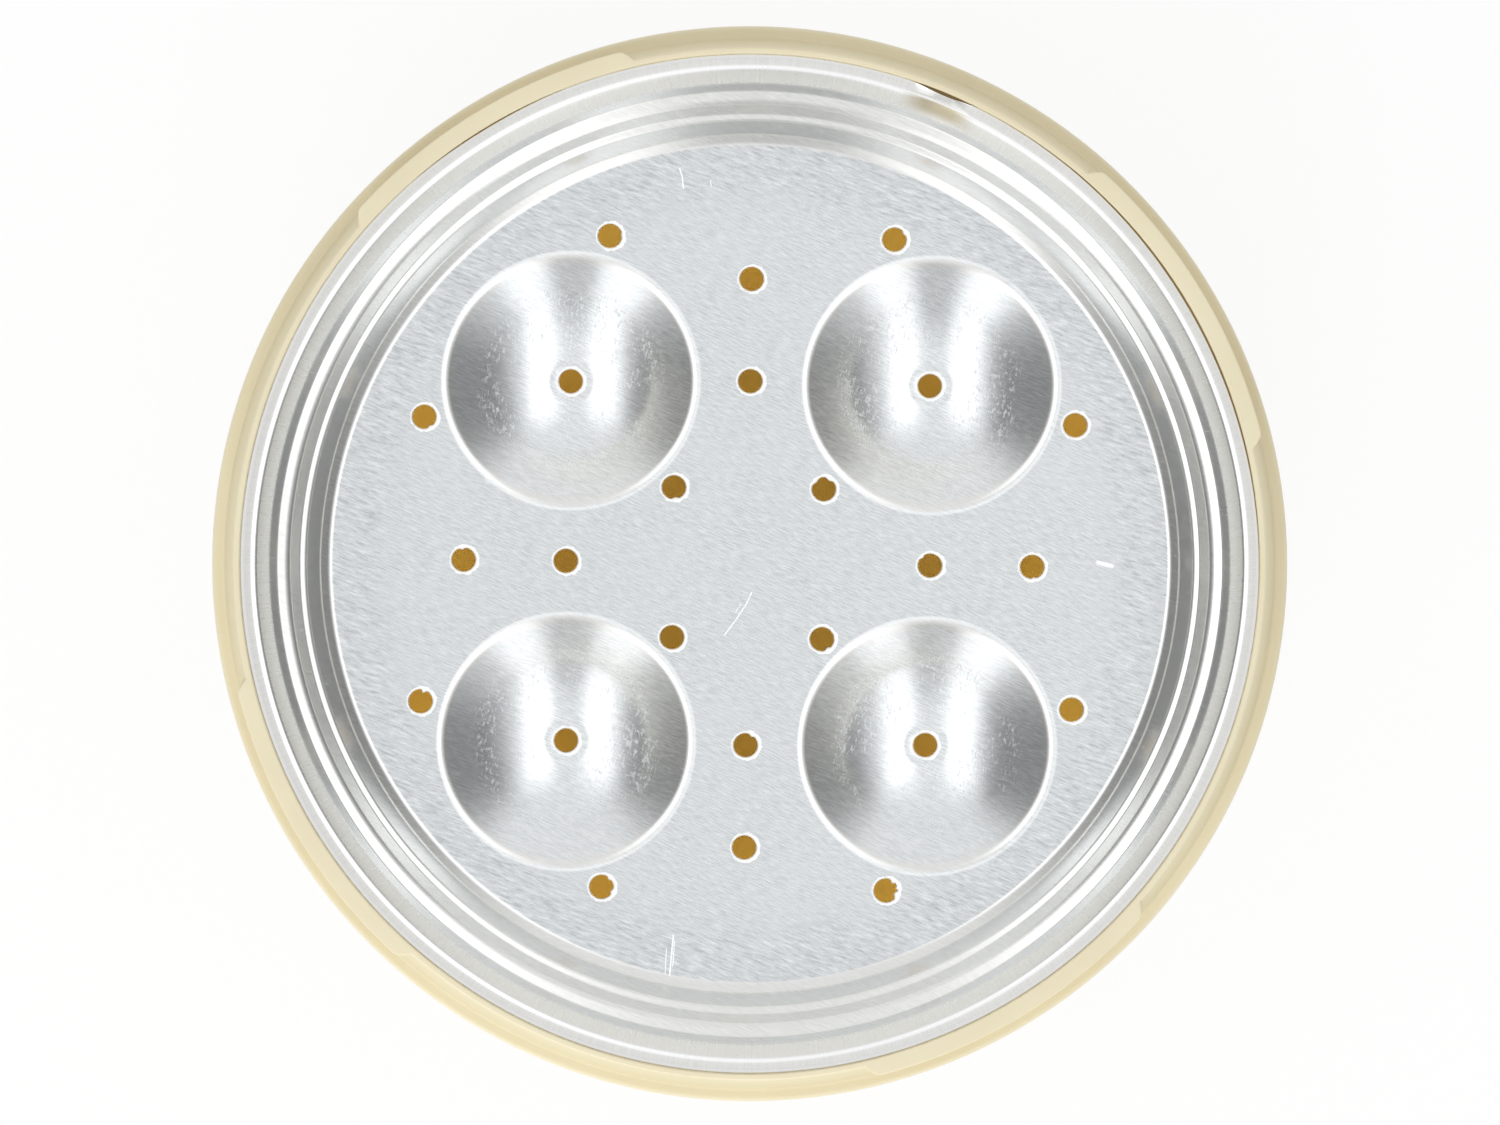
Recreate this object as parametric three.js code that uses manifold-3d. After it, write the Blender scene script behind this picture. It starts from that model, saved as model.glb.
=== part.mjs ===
// A microwave egg cooker with its lid off: a moulded plastic base bowl that holds the water, and a stamped
// aluminium tray that hangs inside the bowl's rim and carries four eggs above the water.
// Millimetres, +Z up. The origin is on the table, under the middle of the bowl.

import * as THREE from "three";
import { mergeVertices } from "three/addons/utils/BufferGeometryUtils.js";
import Module from "manifold-3d";

// Base bowl
const bodyDiameter = 170; // at the shoulder, its widest place
const rimHeight = 62; // from the table to the top of the rim
const wall = 2.4;
const neckHeight = 9; // rim above the shoulder that the lid stands on
const shoulderWidth = 2;
const shoulderRound = 0.8; // outer edge of the shoulder
const neckTaper = 1.9; // how far the neck leans in, shoulder to rim
const rimLand = 0.8; // flat top edge of the rim
const footDiameter = 98;
const footWidth = 4;
const footHeight = 2.5;

// Lid lugs, outside the top of the neck
const lugCount = 4;
const lugBearing = 31; // degrees from +X to the middle of the first lug
const lugSpan = 36.2; // degrees, at the neck
const lugEndSlant = 1.6; // degrees that each end draws in towards the lug's tip
const lugReach = 1.9; // beyond the rim's outer edge
const lugThickness = 3;

// Tray seat, inside the rim
const traySink = 3; // tray's flange below the top of the rim
const trayPlay = 0.4; // radial play of the tray in the rim
const seatWidth = 1.1; // ledge that the flange lies on
const seatClearance = 0.4; // between the ledge and the place where the tray's flange dips

// Egg tray, sizes on its upper face
const sheet = 0.6; // thickness of the aluminium
const trayTurn = -0.75; // degrees, as the tray happens to lie

// Tray wall, from the flange in and down to the floor: how far each stretch leans in and how far it drops,
// and the radius under each edge and in each hollow between two stretches
const lipInside = 1.4;
const lipRun = 0.78;
const lipDrop = 0.12;
const bendInside = 0.4;
const slopeRun = 2.15;
const slopeDrop = 2.27;
const slopeEdgeInside = 3.4;
const upperRun = 1.04;
const upperDrop = 1.54;
const upperHollow = 0.5;
const upperLedgeRun = 1.8;
const upperLedgeDrop = 0.55;
const upperEdgeInside = 1.6;
const middleRun = 1.72;
const middleDrop = 2.12;
const lowerHollow = 0.6;
const lowerLedgeRun = 1;
const lowerLedgeDrop = 0.29;
const lowerEdgeInside = 0.4;
const lowerRun = 2.12;
const lowerDrop = 2.92;
const footHollow = 3;
const footRun = 1.48;
const footDrop = 1.18;
const floorHollow = 1.6;

// Egg cups
const cupCount = 4;
const cupDiameter = 41;
const cupDepth = 9;
const cupSlope = 38.3; // degrees, of the straight stretch under the edge
const cupEdgeRound = 3;
const cupFlat = 6.8; // flat for the hole in the middle
const cupMargin = 5.6; // between a cup and the foot of the wall

// Steam holes: each cup has one in its middle, and the rest stand round the cups
const holeDiameter = 3.7;
const rimHoleInset = 10.25; // from the foot of the wall to the outer holes
const rimHoleSpread = 23.6; // degrees to each side of the line between two cups
const gapHoleInset = 21.5; // from the foot of the wall to the holes between cups
const bridgeHoleOffset = 0.25; // beyond the narrowest place between two cups
const middleHoleInset = 3.15; // from the cups to the holes about the middle

// Fineness of the round shapes
const turns = 64;
const cupTurns = 24;
const holeSides = 10;
const arcSteps = 2;
const sideSteps = 7;
const cupSteps = 5;
const lugSteps = 8;

const degrees = Math.PI / 180;
const overcut = 1; // how far a cutter runs past what it cuts

const wasm = await Module();
wasm.setup();

// Sizes that follow from those above
const bodyRadius = bodyDiameter / 2;
const shoulderHeight = rimHeight - neckHeight;
const neckRootRadius = bodyRadius - shoulderWidth;
const rimOuterRadius = neckRootRadius - neckTaper;
const rimInnerRadius = rimOuterRadius - rimLand;
const footRadius = footDiameter / 2;
const flangeHeight = rimHeight - traySink;
const flangeRadius = rimInnerRadius - trayPlay;
const seatHeight = flangeHeight - sheet;
const seatInnerRadius = rimInnerRadius - seatWidth;
const lipOutside = lipInside + sheet;
const wallStretches = [
  [lipRun, lipDrop, bendInside + sheet],
  [slopeRun, slopeDrop, slopeEdgeInside + sheet],
  [upperRun, upperDrop, upperHollow],
  [upperLedgeRun, upperLedgeDrop, upperEdgeInside + sheet],
  [middleRun, middleDrop, lowerHollow],
  [lowerLedgeRun, lowerLedgeDrop, lowerEdgeInside + sheet],
  [lowerRun, lowerDrop, footHollow],
  [footRun, footDrop, floorHollow],
];

// A line through corners [radius, height, rounding], each corner rounded by an arc that meets both its sides
// and takes at most half of the shorter one.
function roundedLine(corners) {
  const places = corners.map(([radius, height]) => new THREE.Vector2(radius, height));
  return corners.flatMap(([, , rounding], i) => {
    const corner = places[i];
    if (!rounding) return [corner];
    const back = places[i - 1].clone().sub(corner);
    const on = places[i + 1].clone().sub(corner);
    const half = back.angleTo(on) / 2;
    const reach = Math.min(rounding / Math.tan(half), back.length() / 2, on.length() / 2);
    const toMiddle = back.normalize().clone().add(on.normalize()).setLength(reach / Math.cos(half));
    const middle = toMiddle.add(corner);
    const start = back.setLength(reach).add(corner).sub(middle);
    const end = on.setLength(reach).add(corner).sub(middle);
    const sweep = Math.atan2(start.cross(end), start.dot(end));
    return Array.from({ length: arcSteps + 1 }, (_, k) =>
      start.clone().rotateAround(new THREE.Vector2(), (sweep * k) / arcSteps).add(middle),
    );
  });
}

// The line moved square to itself, to the right of the way it runs.
function movedRight(line, distance) {
  const rightOf = (from, to) => new THREE.Vector2(to.y - from.y, from.x - to.x).normalize();
  return line.map((point, i) => {
    const before = rightOf(line[Math.max(i - 1, 0)], line[Math.max(i, 1)]);
    const after = rightOf(line[Math.min(i, line.length - 2)], line[Math.min(i + 1, line.length - 1)]);
    const mitre = before.clone().add(after).normalize();
    return mitre.multiplyScalar(distance / mitre.dot(before)).add(point);
  });
}

// A solid from closed geometry, with its shared corners merged and its empty triangles left out.
function solid(geometry) {
  const bare = geometry.clone();
  bare.deleteAttribute("normal");
  bare.deleteAttribute("uv");
  const merged = mergeVertices(bare);
  const index = merged.index.array;
  const triangles = [];
  for (let i = 0; i < index.length; i += 3) {
    const [a, b, c] = index.subarray(i, i + 3);
    if (a !== b && b !== c && c !== a) triangles.push(a, b, c);
  }
  return new wasm.Manifold(
    new wasm.Mesh({
      numProp: 3,
      vertProperties: merged.attributes.position.array,
      triVerts: new Uint32Array(triangles),
    }),
  );
}

// Geometry from a solid.
function geometryOf(body) {
  const mesh = body.getMesh();
  return new THREE.BufferGeometry()
    .setAttribute("position", new THREE.BufferAttribute(mesh.vertProperties, 3))
    .setIndex(new THREE.BufferAttribute(mesh.triVerts, 1));
}

// A solid turned about +Z from a profile of [radius, height] points that starts and ends on the axis.
function turned(profile, sides) {
  return solid(new THREE.LatheGeometry(profile, sides).rotateX(90 * degrees));
}

// The bowl's side, a quarter of an ellipse from the shoulder to the floor, moved in by a depth. It runs
// between two turns of the ellipse, 0 at the shoulder and 90 degrees at the floor.
const sideTop = shoulderHeight - shoulderRound;
const sideMiddle = footRadius - footWidth;
const sideWidth = bodyRadius - sideMiddle;
const sideDrop = sideTop - footHeight;
function bowlSide(depth, from, to) {
  return Array.from({ length: sideSteps + 1 }, (_, k) => {
    const turn = from + ((to - from) * k) / sideSteps;
    const across = Math.cos(turn);
    const down = Math.sin(turn);
    const outward = new THREE.Vector2(across / sideWidth, -down / sideDrop).setLength(depth);
    return new THREE.Vector2(sideMiddle + across * sideWidth, sideTop - down * sideDrop).sub(outward);
  });
}

// The shoulder's rounded outer edge, from the top of the bowl's side to the root of the neck.
function shoulderEdge() {
  const edge = Array.from({ length: arcSteps }, (_, k) => {
    const turn = (90 * degrees * (k + 1)) / arcSteps;
    return new THREE.Vector2(Math.cos(turn) - 1, Math.sin(turn) - 1).multiplyScalar(shoulderRound);
  });
  const corner = new THREE.Vector2(bodyRadius, shoulderHeight);
  return [...edge.map((point) => point.add(corner)), new THREE.Vector2(neckRootRadius, shoulderHeight)];
}

// The bowl, with the foot that it stands on, the shoulder and neck for the lid, and the seat for the tray.
function baseProfile() {
  const floorHeight = footHeight + wall;
  const neckInside = shoulderHeight - wall;
  const sideInside = neckInside - (bodyRadius - wall - seatInnerRadius);
  const footTurn = Math.acos(footWidth / sideWidth);
  const insideTurn = Math.asin((sideTop - sideInside) / sideDrop);
  const corners = (...list) => list.map(([radius, height]) => new THREE.Vector2(radius, height));
  return [
    ...corners([0, footHeight], [sideMiddle, footHeight], [sideMiddle, 0], [footRadius, 0]),
    ...bowlSide(0, footTurn, 0),
    ...shoulderEdge(),
    ...corners([rimOuterRadius, rimHeight], [rimInnerRadius, rimHeight], [rimInnerRadius, seatHeight]),
    ...corners([seatInnerRadius, seatHeight], [seatInnerRadius, neckInside]),
    ...bowlSide(wall, insideTurn, 90 * degrees),
    ...corners([0, floorHeight]),
  ];
}

// One lug: a flat tab of the neck, level with the rim, with slanting ends.
function lug(bearing) {
  const root = (rimInnerRadius + rimOuterRadius) / 2;
  const tip = rimOuterRadius + lugReach;
  const half = lugSpan / 2;
  const outline = new THREE.Shape();
  outline.absarc(0, 0, root, (bearing - half) * degrees, (bearing + half) * degrees, false);
  outline.absarc(
    0,
    0,
    tip,
    (bearing + half - lugEndSlant) * degrees,
    (bearing - half + lugEndSlant) * degrees,
    true,
  );
  outline.closePath();
  const tab = new THREE.ExtrudeGeometry(outline, {
    depth: lugThickness,
    bevelEnabled: false,
    curveSegments: lugSteps,
  });
  return solid(tab.translate(0, 0, rimHeight - lugThickness));
}

function baseBowl() {
  let body = turned(baseProfile(), turns);
  for (let i = 0; i < lugCount; i++) body = body.add(lug(lugBearing + (360 * i) / lugCount));
  return geometryOf(body);
}

// The tray's upper face from its middle to the edge of its flange, and where its wall meets its floor. The
// flange stays flat until it is past the ledge that it lies on.
function trayLine() {
  const dip = Math.atan2(lipDrop, lipRun);
  const lipRadius = seatInnerRadius - seatClearance - lipOutside * Math.tan(dip / 2);
  const corners = [
    [flangeRadius, flangeHeight],
    [lipRadius, flangeHeight, lipOutside],
  ];
  for (const [run, drop, rounding] of wallStretches) {
    const [radius, height] = corners.at(-1);
    corners.push([radius - run, height - drop, rounding]);
  }
  const [floorRadius, floorHeight] = corners.at(-1);
  corners.push([0, floorHeight]);
  return { line: roundedLine(corners.reverse()), floorRadius, floorHeight };
}

// A cup's two faces about its own axis: a ball-shaped hollow with a flat middle and a straight slope above,
// whose edge rolls over into the floor.
function cup(floorHeight) {
  const slope = cupSlope * degrees;
  const radius = cupDiameter / 2;
  const rollHeight = floorHeight - cupEdgeRound;
  const slopeEnd = radius - cupEdgeRound * Math.sin(slope);
  const rollDrop = cupEdgeRound * (1 - Math.cos(slope));
  const ball = (slopeEnd * Math.tan(slope) + rollDrop - cupDepth) / (1 / Math.cos(slope) - 1);
  const ballHeight = floorHeight - cupDepth + ball;
  const flatTurn = Math.asin(cupFlat / 2 / ball);
  const arc = (middleRadius, middleHeight, size, from, to, steps) =>
    Array.from({ length: steps + 1 }, (_, k) => {
      const turn = from + ((to - from) * k) / steps;
      return new THREE.Vector2(middleRadius + size * Math.sin(turn), middleHeight - size * Math.cos(turn));
    });
  const line = [
    new THREE.Vector2(0, ballHeight - ball * Math.cos(flatTurn)),
    ...arc(0, ballHeight, ball, flatTurn, slope, cupSteps),
    ...arc(radius, rollHeight, cupEdgeRound, slope - Math.PI, -Math.PI, arcSteps),
  ];
  const closed = (side, height) => [
    ...side,
    new THREE.Vector2(radius, height),
    new THREE.Vector2(0, height),
  ];
  return {
    hollow: turned(closed(line, floorHeight + overcut), cupTurns),
    shell: turned(closed(movedRight(line, sheet), floorHeight - sheet / 2), cupTurns),
  };
}

// Where the cups and the steam holes stand on the tray's floor, as [x, y].
function trayPlaces(floorRadius) {
  const place = (radius, turn) => [radius * Math.cos(turn * degrees), radius * Math.sin(turn * degrees)];
  const share = 360 / cupCount;
  const cupCircle = floorRadius - cupDiameter / 2 - cupMargin;
  const bridgeCircle = cupCircle * Math.cos((share / 2) * degrees) + bridgeHoleOffset;
  const cups = [];
  const holes = [];
  for (let i = 0; i < cupCount; i++) {
    const between = trayTurn + share * i;
    const onCup = between + share / 2;
    cups.push(place(cupCircle, onCup));
    holes.push(place(cupCircle, onCup));
    holes.push(place(cupCircle - cupDiameter / 2 - middleHoleInset, onCup));
    holes.push(place(bridgeCircle, between));
    holes.push(place(floorRadius - gapHoleInset, between));
    holes.push(place(floorRadius - rimHoleInset, between - rimHoleSpread));
    holes.push(place(floorRadius - rimHoleInset, between + rimHoleSpread));
  }
  return { cups, holes };
}

function eggTray() {
  const { line, floorRadius, floorHeight } = trayLine();
  const { cups, holes } = trayPlaces(floorRadius);
  let body = turned([...movedRight(line, sheet), ...line.reverse()], turns);
  const { hollow, shell } = cup(floorHeight);
  for (const [x, y] of cups) body = body.add(shell.translate(x, y, 0)).subtract(hollow.translate(x, y, 0));
  const reach = cupDepth + sheet + 2 * overcut;
  const punch = solid(
    new THREE.CylinderGeometry(holeDiameter / 2, holeDiameter / 2, reach, holeSides)
      .rotateX(90 * degrees)
      .translate(0, 0, floorHeight + overcut - reach / 2),
  );
  for (const [x, y] of holes) body = body.subtract(punch.translate(x, y, 0));
  return geometryOf(body);
}

// The named pieces
function piece(name, geometry, color, roughness, metalness) {
  const mesh = new THREE.Mesh(geometry, new THREE.MeshStandardMaterial({ color, roughness, metalness }));
  mesh.name = name;
  return mesh;
}

const eggCooker = new THREE.Group();
eggCooker.add(
  piece("base_bowl", baseBowl(), 0xe4d8b8, 0.45, 0),
  piece("egg_tray", eggTray(), 0xd9dcde, 0.35, 1),
);

export default eggCooker;
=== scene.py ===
"""The looks of an open microwave egg cooker: a cream plastic bowl, and the aluminium egg tray
that hangs in its rim."""

import math

import bpy
from mathutils import Matrix, Vector
from mathutils.geometry import delaunay_2d_cdt


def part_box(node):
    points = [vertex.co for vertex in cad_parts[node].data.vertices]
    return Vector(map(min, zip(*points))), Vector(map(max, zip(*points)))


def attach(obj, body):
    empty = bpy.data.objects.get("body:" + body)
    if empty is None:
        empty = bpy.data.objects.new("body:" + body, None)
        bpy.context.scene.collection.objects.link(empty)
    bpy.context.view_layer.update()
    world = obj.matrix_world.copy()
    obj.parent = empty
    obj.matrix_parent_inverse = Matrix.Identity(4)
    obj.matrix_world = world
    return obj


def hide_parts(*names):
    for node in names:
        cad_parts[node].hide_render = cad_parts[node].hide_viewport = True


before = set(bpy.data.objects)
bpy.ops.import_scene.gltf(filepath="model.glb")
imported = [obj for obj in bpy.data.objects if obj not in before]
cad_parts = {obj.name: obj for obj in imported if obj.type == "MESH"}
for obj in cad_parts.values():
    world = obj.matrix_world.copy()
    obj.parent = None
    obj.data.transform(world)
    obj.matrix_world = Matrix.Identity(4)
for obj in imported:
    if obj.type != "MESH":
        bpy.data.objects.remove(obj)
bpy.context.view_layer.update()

# Sizes are in millimetres, and meshes are turned to metres where they are made
METRE = 0.001

# The frame gives the overall sizes
bowl_low, bowl_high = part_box("base_bowl")
_, tray_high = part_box("egg_tray")
BODY_RADIUS = (bowl_high[0] - bowl_low[0]) / 2 / METRE
RIM_HEIGHT = bowl_high[2] / METRE
FLANGE_HEIGHT = tray_high[2] / METRE

# Base bowl
WALL = 2.4
NECK_HEIGHT = 9.0
SHOULDER_WIDTH = 2.0
SHOULDER_ROUND = 0.8
NECK_TAPER = 1.9
RIM_LAND = 0.8
FOOT_RADIUS = 49.0
FOOT_WIDTH = 4.0
FOOT_HEIGHT = 2.5
SEAT_WIDTH = 1.1
EDGE_ROUND = 0.16
CORNER_HOLLOW = 0.5

# Lid lugs
LUG_COUNT = 4
LUG_FIRST_BEARING = 31
LUG_SPAN = 36.2
LUG_END_SLANT = 1.6
LUG_REACH = 1.9
LUG_THICKNESS = 3.0
LUG_ROUND = 0.2

# Egg tray. Its wall goes in and down from the flange in stretches, each with its run, its drop and
# the rounding at its foot
SHEET = 0.6
FLANGE_PLAY = 0.015
FLANGE_EDGE_ROUND = 0.08
SEAT_CLEARANCE = 0.4
LIP_ROUND = 2.0
WALL_STRETCHES = [
    (0.78, 0.12, 1.0),
    (2.15, 2.27, 4.0),
    (1.04, 1.54, 0.5),
    (1.8, 0.55, 2.2),
    (1.72, 2.12, 0.6),
    (1.0, 0.29, 1.0),
    (2.12, 2.92, 3.0),
    (1.48, 1.18, 1.6),
]
FLOOR_MARGIN = 2.4
TRAY_TURN = -0.75
STAMP_SHIFT = Vector((-0.28, 0.08))
CUP_COUNT = 4
CUP_RADIUS = 20.5
CUP_DEPTH = 9.0
CUP_SLOPE = 36.0
CUP_ROLL = 2.5
CUP_FLAT_RADIUS = 3.4
CUP_MARGIN = 5.6

# Steam holes
HOLE_RADIUS = 1.85
HOLE_ROUND = 0.38
HOLE_MARGIN = 0.3
RIM_HOLE_INSET = 10.25
RIM_HOLE_SPREAD = 23.6
GAP_HOLE_INSET = 21.5
BRIDGE_HOLE_OFFSET = 0.25
MIDDLE_HOLE_INSET = 3.15

# Dent that prying has left in the tray's rim: the flange is bent up and in, and the wall's top beside
# it sags and bulges
DENT_BEARING = 67.5
DENT_HALF_WIDTH = 4.6
DENT_FLANGE_WIDTH = 1.75
DENT_WALL_WIDTH = 3.5
DENT_LIFT = 0.9
DENT_PUSH = 0.55
DENT_SAG = 0.25
DENT_BULGE = 0.35

# Where the flange's trimmed edge falls short of the rim: bearing, half width in degrees and depth
EDGE_TRIMS = [(30, 38, 0.3), (121, 12, 0.18)]
TRIM_WIDTH = 0.7

# Fineness of the meshes: degrees from ring point to ring point, closer at the lugs' ends and the
# dent, sides of the stamped rounds, and spacing of the points in the tray's floor
BOWL_STEP = 2.0
LUG_END_STEP = 0.2
LUG_END_REACH = 2.2
TRAY_STEP = 1.5
DENT_STEP = 0.3
DENT_REACH = 6
CUP_SIDES = 120
HOLE_SIDES = 60
FLOOR_SPACING = 5.0
INNERMOST_RING = 1.5

# Sizes worked out from those above
SHOULDER_HEIGHT = RIM_HEIGHT - NECK_HEIGHT
NECK_ROOT_RADIUS = BODY_RADIUS - SHOULDER_WIDTH
RIM_OUTER_RADIUS = NECK_ROOT_RADIUS - NECK_TAPER
RIM_INNER_RADIUS = RIM_OUTER_RADIUS - RIM_LAND
SEAT_HEIGHT = FLANGE_HEIGHT - SHEET
SEAT_INNER_RADIUS = RIM_INNER_RADIUS - SEAT_WIDTH
FLANGE_RADIUS = RIM_INNER_RADIUS - FLANGE_PLAY
LIP_DIP = math.atan2(WALL_STRETCHES[0][1], WALL_STRETCHES[0][0])
LIP_RADIUS = SEAT_INNER_RADIUS - SEAT_CLEARANCE - LIP_ROUND * math.tan(LIP_DIP / 2)
FLOOR_RADIUS = LIP_RADIUS - sum(run for run, _, _ in WALL_STRETCHES)
FLOOR_HEIGHT = FLANGE_HEIGHT - sum(drop for _, drop, _ in WALL_STRETCHES)
LUG_BEARINGS = [LUG_FIRST_BEARING + 360 / LUG_COUNT * k for k in range(LUG_COUNT)]
CUP_SHARE = 360 / CUP_COUNT
CUP_CIRCLE = FLOOR_RADIUS - CUP_RADIUS - CUP_MARGIN
BRIDGE_CIRCLE = CUP_CIRCLE * math.cos(math.radians(CUP_SHARE / 2)) + BRIDGE_HOLE_OFFSET

# The steam holes of one share of the floor, as a radius and a turn from the line between two cups
STEAM_HOLES = [
    (CUP_CIRCLE - CUP_RADIUS - MIDDLE_HOLE_INSET, CUP_SHARE / 2),
    (BRIDGE_CIRCLE, 0),
    (FLOOR_RADIUS - GAP_HOLE_INSET, 0),
    (FLOOR_RADIUS - RIM_HOLE_INSET, -RIM_HOLE_SPREAD),
    (FLOOR_RADIUS - RIM_HOLE_INSET, RIM_HOLE_SPREAD),
]

# Burrs that the punch has left, by the share of the floor and the hole in it: bearing, half width
# in degrees and reach
HOLE_BURRS = {
    (0, 0): [(135, 30, 0.3), (60, 26, 0.3)],
    (0, 1): [(132, 18, 0.25)],
    (0, 2): [(278, 18, 0.2)],
    (1, 0): [(277, 24, 0.3)],
    (1, 3): [(32, 20, 0.22)],
    (1, 4): [(2, 14, 0.15)],
    (2, 2): [(97, 22, 0.3)],
    (2, 3): [(300, 20, 0.25)],
    (2, 4): [(72, 18, 0.55)],
    (3, 0): [(300, 20, 0.3)],
    (3, 1): [(58, 18, 0.28)],
    (3, 3): [(46, 16, 0.3), (335, 18, 0.3)],
    (3, 4): [(52, 18, 0.4), (14, 14, 0.35), (338, 26, 0.55)],
}


# Lines in a section, as points of radius and height

def arc(middle, size, start, end, steps):
    """Points on a circle, with angles in radians counted from straight out."""
    turns = [start + (end - start) * k / steps for k in range(steps + 1)]
    return [Vector((middle[0] + size * math.cos(t), middle[1] + size * math.sin(t))) for t in turns]


def rounded_line(corners, steps=6):
    """A line through corners of radius, height and rounding, with an arc at each rounded corner."""
    places = [Vector(corner[:2]) for corner in corners]
    line = []
    for i, corner in enumerate(corners):
        rounding = corner[2] if len(corner) > 2 else 0
        if not rounding:
            line.append(places[i])
            continue
        back = places[i - 1] - places[i]
        ahead = places[i + 1] - places[i]
        half = back.angle(ahead) / 2
        reach = min(rounding / math.tan(half), back.length / 2, ahead.length / 2)
        inward = (back.normalized() + ahead.normalized()).normalized()
        middle = places[i] + inward * reach / math.cos(half)
        first = places[i] + back.normalized() * reach - middle
        last = places[i] + ahead.normalized() * reach - middle
        start = math.atan2(first.y, first.x)
        sweep = math.atan2(first.x * last.y - first.y * last.x, first.dot(last))
        line += arc(middle, first.length, start, start + sweep, steps)
    return line


def moved_right(line, distance):
    """The line moved square to itself, to the right of the way it runs."""
    sides = [Vector((b.y - a.y, a.x - b.x)).normalized() for a, b in zip(line, line[1:])]
    moved = []
    for i, point in enumerate(line):
        before = sides[max(i - 1, 0)]
        after = sides[min(i, len(sides) - 1)]
        mitre = (before + after).normalized()
        moved.append(point + mitre * distance / mitre.dot(before))
    return moved


def between(start, end, steps):
    """Points evenly along a straight stretch, both ends included."""
    return [start.lerp(end, k / steps) for k in range(steps + 1)]


# Meshes made of rings of points

class Shell:
    """A mesh under construction: its points, in millimetres, and its faces."""

    def __init__(self):
        self.points = []
        self.faces = []

    def ring(self, points):
        first = len(self.points)
        self.points += [tuple(p) for p in points]
        return list(range(first, len(self.points)))

    def bridge(self, inner, outer):
        """Faces between two closed rings. They face up where the first ring is the inner one."""
        for i in range(len(inner)):
            k = (i + 1) % len(inner)
            self.faces.append((inner[i], outer[i], outer[k], inner[k]))

    def skin(self, rings):
        for inner, outer in zip(rings, rings[1:]):
            self.bridge(inner, outer)

    def fan(self, ring, tip):
        """Triangles from a ring to one point, facing the way that bridge gives from the tip outwards."""
        (peak,) = self.ring([tip])
        for i in range(len(ring)):
            self.faces.append((peak, ring[i], ring[(i + 1) % len(ring)]))

    def object(self, name, material, crease=40):
        mesh = bpy.data.meshes.new(name)
        mesh.from_pydata([[c * METRE for c in p] for p in self.points], [], self.faces)
        mesh.validate()
        mesh.polygons.foreach_set("use_smooth", [True] * len(mesh.polygons))
        mesh.set_sharp_from_angle(angle=math.radians(crease))
        mesh.materials.append(material)
        made = bpy.data.objects.new(name, mesh)
        bpy.context.collection.objects.link(made)
        return made


def turned_angles(step, dense, dense_step):
    """Angles in degrees all the way round, closer together inside the dense (from, to) stretches."""
    angles = {round(step * k, 3) for k in range(round(360 / step))}
    for start, end in dense:
        angles = {a for a in angles if not 0 < (a - start) % 360 < (end - start) % 360}
        count = round((end - start) / dense_step)
        angles |= {round((start + (end - start) * k / count) % 360, 3) for k in range(count + 1)}
    return sorted(angles)


def polar(radius, height, degrees, middle=(0, 0)):
    turn = math.radians(degrees)
    return (middle[0] + radius * math.cos(turn), middle[1] + radius * math.sin(turn), height)


def apart(bearing, other):
    """The degrees between two bearings."""
    return abs((bearing - other + 180) % 360 - 180)


# The bowl

def bowl_side(depth, start, end, steps=44):
    """The bowl's side, a quarter of an ellipse from the shoulder to the floor, moved in by a depth."""
    top = SHOULDER_HEIGHT - SHOULDER_ROUND
    middle = FOOT_RADIUS - FOOT_WIDTH
    width = BODY_RADIUS - middle
    drop = top - FOOT_HEIGHT
    line = []
    for k in range(steps + 1):
        turn = start + (end - start) * k / steps
        outward = Vector((math.cos(turn) / width, -math.sin(turn) / drop)).normalized()
        point = Vector((middle + math.cos(turn) * width, top - math.sin(turn) * drop))
        line.append(point - outward * depth)
    return line


def bowl_outside():
    """From near the middle of the underside, round the foot and up the side to the root of the neck."""
    foot_inner = FOOT_RADIUS - FOOT_WIDTH
    side_width = BODY_RADIUS - foot_inner
    side = bowl_side(0, math.acos(FOOT_WIDTH / side_width), 0)
    foot = rounded_line([
        (INNERMOST_RING, FOOT_HEIGHT),
        (foot_inner, FOOT_HEIGHT, CORNER_HOLLOW),
        (foot_inner, 0, CORNER_HOLLOW),
        (FOOT_RADIUS, 0, CORNER_HOLLOW),
        (FOOT_RADIUS, side[0].y, CORNER_HOLLOW),
        tuple(side[1]),
    ])
    middle = (BODY_RADIUS - SHOULDER_ROUND, SHOULDER_HEIGHT - SHOULDER_ROUND)
    edge = arc(middle, SHOULDER_ROUND, 0, math.pi / 2, steps=8)
    return foot + side[2:] + edge[1:]


def neck_at(height):
    """The neck's outer radius at a height, without lugs."""
    return RIM_OUTER_RADIUS + NECK_TAPER * (RIM_HEIGHT - height) / NECK_HEIGHT


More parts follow.
